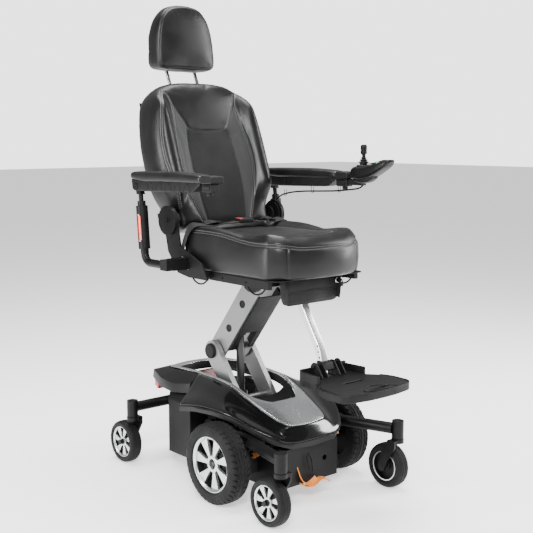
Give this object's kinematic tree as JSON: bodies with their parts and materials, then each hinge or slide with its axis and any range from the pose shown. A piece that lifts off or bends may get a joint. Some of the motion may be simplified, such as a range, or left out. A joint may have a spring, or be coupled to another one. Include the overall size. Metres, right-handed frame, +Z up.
{
  "type": "power wheelchair",
  "caption": "Power wheelchair with middle drive wheels, swivel casters, a folding-arm seat lift, a reclining back, headrest, flip-up armrests, joystick and folding footplate.",
  "frame": {"origin": "on the floor, below the middle of the chair's length and width", "axes": "+Z up, the chair faces -Y, +X is the rider's left"},
  "size_m": [0.646, 1.0941, 1.6444],
  "materials": {
    "frame_black": "satin powder coat",
    "plastic_charcoal": "fine grain",
    "gloss_black": "gloss",
    "trim_silver": "satin silver",
    "cover_grey": "fine grain",
    "tyre_rubber": "matt",
    "rim_alloy": "machined and clear coated",
    "lift_alloy": "cast",
    "dark_steel": "satin",
    "post_chrome": "polished",
    "leather_black": "grained",
    "webbing_black": "woven",
    "webbing_orange": "woven",
    "pouch_fabric": "woven",
    "lamp_red": "clear gloss",
    "cable_black": "satin",
    "battery_case": "smooth",
    "controller_case": "satin",
    "button_green": "satin",
    "button_amber": "satin",
    "lever_orange": "smooth"
  },
  "bodies": {
    "base": {"base_frame": "frame_black", "battery_housing": "plastic_charcoal", "batteries": "battery_case", "controller": "controller_case", "motors": "dark_steel", "main_shroud": "gloss_black", "shroud_trim": "trim_silver", "rear_cover": "cover_grey", "rear_lamps": "lamp_red", "lower_skirt": "cover_grey", "drop_plate": "plastic_charcoal", "transit_strap": "webbing_orange"},
    "front_arm_right": {"front_arm_right": "frame_black"},
    "front_arm_left": {"front_arm_left": "frame_black"},
    "rear_beam": {"rear_beam": "frame_black"},
    "front_right_swivel": {"front_right_fork": "frame_black"},
    "front_right_wheel": {"front_right_rim": "rim_alloy", "front_right_tyre": "tyre_rubber"},
    "front_left_swivel": {"front_left_fork": "frame_black"},
    "front_left_wheel": {"front_left_rim": "rim_alloy", "front_left_tyre": "tyre_rubber"},
    "rear_right_swivel": {"rear_right_fork": "frame_black"},
    "rear_right_wheel": {"rear_right_rim": "rim_alloy", "rear_right_tyre": "tyre_rubber"},
    "rear_left_swivel": {"rear_left_fork": "frame_black"},
    "rear_left_wheel": {"rear_left_rim": "rim_alloy", "rear_left_tyre": "tyre_rubber"},
    "drive_wheel_right": {"drive_rim_right": "rim_alloy", "drive_tyre_right": "tyre_rubber"},
    "freewheel_lever_right": {"freewheel_lever_right": "lever_orange"},
    "drive_wheel_left": {"drive_rim_left": "rim_alloy", "drive_tyre_left": "tyre_rubber"},
    "freewheel_lever_left": {"freewheel_lever_left": "lever_orange"},
    "lower_arm": {"lower_arms": "lift_alloy", "knee_shaft": "plastic_charcoal"},
    "upper_arm": {"upper_arms": "lift_alloy", "arm_cover": "plastic_charcoal"},
    "actuator": {"actuator_body": "dark_steel"},
    "ram": {"actuator_rod": "dark_steel"},
    "seat": {"seat_frame": "frame_black", "tie_downs": "frame_black", "seat_cushion": "leather_black", "pouch": "pouch_fabric", "recline_brackets": "frame_black", "lap_belt": "webbing_black", "arm_posts": "frame_black", "joystick_cable": "cable_black", "foot_tube": "dark_steel"},
    "back": {"back_frame": "frame_black", "back_cushion": "leather_black"},
    "headrest": {"headrest_posts": "post_chrome", "headrest_pad": "leather_black"},
    "armrest_right": {"armrest_right": "plastic_charcoal"},
    "armrest_left": {"armrest_left": "plastic_charcoal", "joystick_housing": "plastic_charcoal"},
    "joystick_gimbal": {"joystick_gimbal": "dark_steel"},
    "joystick_stick": {"joystick_stick": "cable_black"},
    "power_button": {"power_button": "button_green"},
    "horn_button": {"horn_button": "button_amber"},
    "footplate": {"footplate": "plastic_charcoal"}
  },
  "joints": [
    {"name": "front_arm_right_swing", "type": "hinge", "parent": "base", "child": "front_arm_right", "pos_m": [-0.19, -0.146, 0.202], "axis": [-1, 0, 0], "range_deg": [0, 8], "stiffness_Nm_per_rad": 200, "springref_deg": -17.19},
    {"name": "front_arm_left_swing", "type": "hinge", "parent": "base", "child": "front_arm_left", "pos_m": [0.19, -0.146, 0.202], "axis": [-1, 0, 0], "range_deg": [0, 8], "stiffness_Nm_per_rad": 200, "springref_deg": -17.19},
    {"name": "rear_beam_rock", "type": "hinge", "parent": "base", "child": "rear_beam", "pos_m": [0, 0.428, 0.21], "axis": [0, 1, 0], "range_deg": [-5, 5]},
    {"name": "front_right_swivel_turn", "type": "hinge", "parent": "front_arm_right", "child": "front_right_swivel", "pos_m": [-0.26, -0.371, 0.2], "axis": [0, 0, 1], "continuous": true},
    {"name": "front_right_wheel_spin", "type": "hinge", "parent": "front_right_swivel", "child": "front_right_wheel", "pos_m": [-0.263, -0.328, 0.076], "axis": [1, 0, 0], "continuous": true},
    {"name": "front_left_swivel_turn", "type": "hinge", "parent": "front_arm_left", "child": "front_left_swivel", "pos_m": [0.26, -0.371, 0.2], "axis": [0, 0, 1], "continuous": true},
    {"name": "front_left_wheel_spin", "type": "hinge", "parent": "front_left_swivel", "child": "front_left_wheel", "pos_m": [0.263, -0.328, 0.076], "axis": [1, 0, 0], "continuous": true},
    {"name": "rear_right_swivel_turn", "type": "hinge", "parent": "rear_beam", "child": "rear_right_swivel", "pos_m": [-0.269, 0.428, 0.2], "axis": [0, 0, 1], "continuous": true},
    {"name": "rear_right_wheel_spin", "type": "hinge", "parent": "rear_right_swivel", "child": "rear_right_wheel", "pos_m": [-0.272, 0.471, 0.076], "axis": [1, 0, 0], "continuous": true},
    {"name": "rear_left_swivel_turn", "type": "hinge", "parent": "rear_beam", "child": "rear_left_swivel", "pos_m": [0.269, 0.428, 0.2], "axis": [0, 0, 1], "continuous": true},
    {"name": "rear_left_wheel_spin", "type": "hinge", "parent": "rear_left_swivel", "child": "rear_left_wheel", "pos_m": [0.272, 0.471, 0.076], "axis": [1, 0, 0], "continuous": true},
    {"name": "drive_wheel_right_spin", "type": "hinge", "parent": "base", "child": "drive_wheel_right", "pos_m": [-0.268, -0.071, 0.133], "axis": [1, 0, 0], "continuous": true},
    {"name": "freewheel_lever_right_turn", "type": "hinge", "parent": "base", "child": "freewheel_lever_right", "pos_m": [-0.164, -0.129, 0.15], "axis": [1, 0, 0], "range_deg": [0, 40]},
    {"name": "drive_wheel_left_spin", "type": "hinge", "parent": "base", "child": "drive_wheel_left", "pos_m": [0.268, -0.071, 0.133], "axis": [1, 0, 0], "continuous": true},
    {"name": "freewheel_lever_left_turn", "type": "hinge", "parent": "base", "child": "freewheel_lever_left", "pos_m": [0.164, -0.129, 0.15], "axis": [1, 0, 0], "range_deg": [0, 40]},
    {"name": "lift_lower", "type": "hinge", "parent": "base", "child": "lower_arm", "pos_m": [0, -0.006, 0.17], "axis": [-1, 0, 0], "range_deg": [0, 32.8]},
    {"name": "lift_knee", "type": "hinge", "parent": "lower_arm", "child": "upper_arm", "pos_m": [0, 0.199, 0.43], "axis": [-1, 0, 0], "range_deg": [-65.6, 0]},
    {"name": "lift_level", "type": "hinge", "parent": "upper_arm", "child": "seat", "pos_m": [0, -0.006, 0.69], "axis": [-1, 0, 0], "range_deg": [0, 32.8]},
    {"name": "actuator_tilt", "type": "hinge", "parent": "base", "child": "actuator", "pos_m": [0, 0.134, 0.135], "axis": [-1, 0, 0], "range_deg": [0, 25.88]},
    {"name": "ram_travel", "type": "slide", "parent": "actuator", "child": "ram", "axis": [0, 0.0274, 0.9996], "range_m": [-0.1722, 0]},
    {"name": "back_recline", "type": "hinge", "parent": "seat", "child": "back", "pos_m": [0, 0.233, 0.896], "axis": [1, 0, 0], "range_deg": [-15, 70]},
    {"name": "headrest_height", "type": "slide", "parent": "back", "child": "headrest", "axis": [0, 0.4067, 0.9135], "range_m": [0, 0.06]},
    {"name": "armrest_right_flip", "type": "hinge", "parent": "seat", "child": "armrest_right", "pos_m": [-0.3, 0.309, 1.01], "axis": [-1, 0, 0], "range_deg": [0, 95]},
    {"name": "armrest_left_flip", "type": "hinge", "parent": "seat", "child": "armrest_left", "pos_m": [0.3, 0.309, 1.01], "axis": [-1, 0, 0], "range_deg": [0, 95], "deforming": ["joystick_cable"]},
    {"name": "joystick_fore_aft", "type": "hinge", "parent": "armrest_left", "child": "joystick_gimbal", "pos_m": [0.292, -0.167, 1.07], "axis": [1, 0, 0], "range_deg": [-12, 12], "stiffness_Nm_per_rad": 0.5},
    {"name": "joystick_side", "type": "hinge", "parent": "joystick_gimbal", "child": "joystick_stick", "pos_m": [0.292, -0.167, 1.07], "axis": [0, 1, 0], "range_deg": [-12, 12], "stiffness_Nm_per_rad": 0.5},
    {"name": "power_button_press", "type": "slide", "parent": "armrest_left", "child": "power_button", "axis": [0, -0.2079, -0.9781], "range_m": [0, 0.0015], "stiffness_N_per_m": 400, "springref_m": -0.0005},
    {"name": "horn_button_press", "type": "slide", "parent": "armrest_left", "child": "horn_button", "axis": [0, -0.2079, -0.9781], "range_m": [0, 0.0015], "stiffness_N_per_m": 400, "springref_m": -0.0005},
    {"name": "footplate_flip", "type": "hinge", "parent": "seat", "child": "footplate", "pos_m": [0, -0.295, 0.456], "axis": [-1, 0, 0], "range_deg": [0, 90]}
  ],
  "couplings": [
    {"joint": "lift_knee", "follows": "lift_lower", "ratio": -2},
    {"joint": "lift_level", "follows": "lift_lower", "ratio": 1},
    {"joint": "actuator_tilt", "follows": "lift_lower", "ratio": 0.789},
    {"joint": "ram_travel", "follows": "lift_lower", "m_per_rad": -0.3005}
  ]
}
